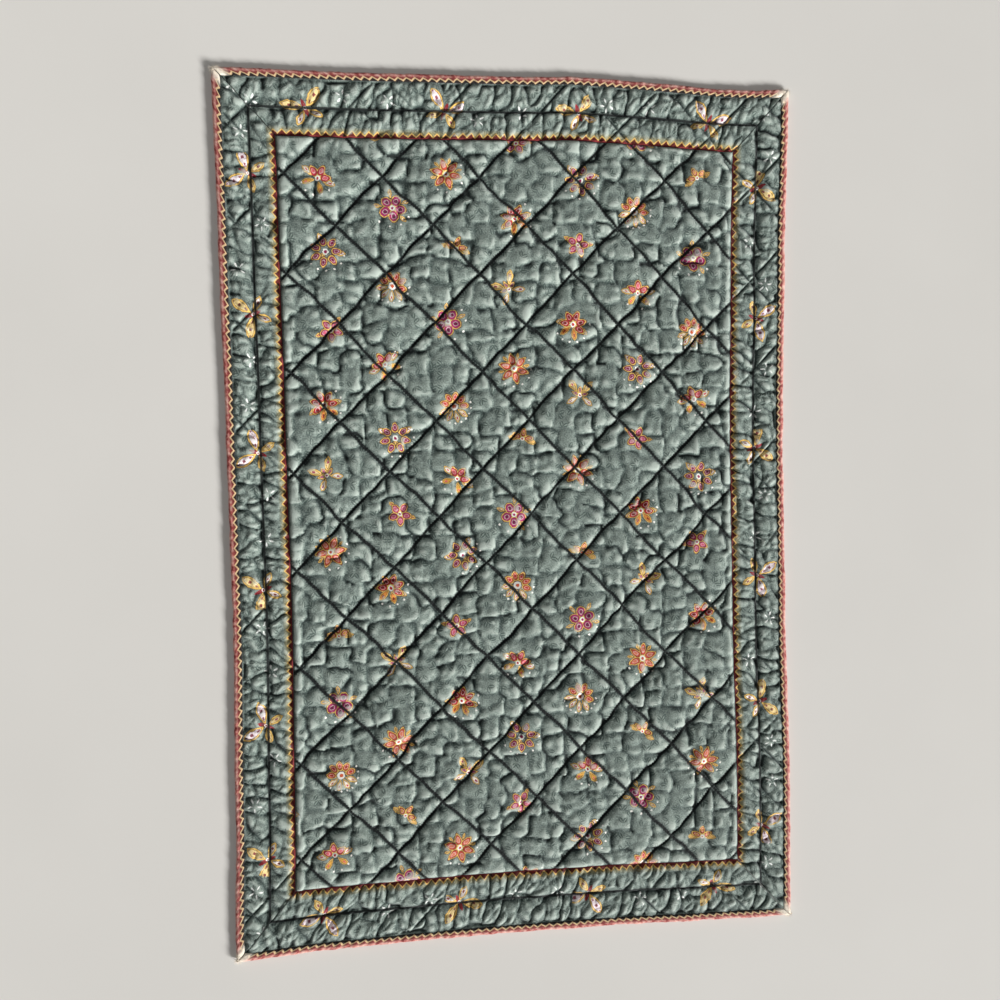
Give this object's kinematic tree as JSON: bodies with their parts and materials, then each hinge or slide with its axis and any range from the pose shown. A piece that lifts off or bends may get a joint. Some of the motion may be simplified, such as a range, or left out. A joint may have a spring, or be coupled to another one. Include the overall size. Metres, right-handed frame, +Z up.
{
  "type": "quilted fabric placemat",
  "caption": "Rectangular quilted cotton placemat: diamond-quilted flowered centre, mitred border with a sewn channel, folded binding tape.",
  "frame": {"origin": "under the middle of the mat, on the table", "axes": "+Z up from the table, +Y along the mat's long side, +X along its short side"},
  "size_m": [0.3296, 0.4991, 0.0052],
  "materials": {
    "printed_cotton": "washed grey-green printed cotton, matt, with small flowers and dark quilting thread",
    "border_cotton": "washed grey-green cotton with printed butterflies and a yellow and dark red zigzag, matt",
    "binding_tape": "woven cotton tape, cream zigzag on dark red with a faded coral fold"
  },
  "bodies": {
    "root": {"centre_panel": "printed_cotton", "border_top": "border_cotton", "border_right": "border_cotton", "border_bottom": "border_cotton", "border_left": "border_cotton", "binding_top": "binding_tape", "binding_right": "binding_tape", "binding_bottom": "binding_tape", "binding_left": "binding_tape"}
  },
  "joints": []
}
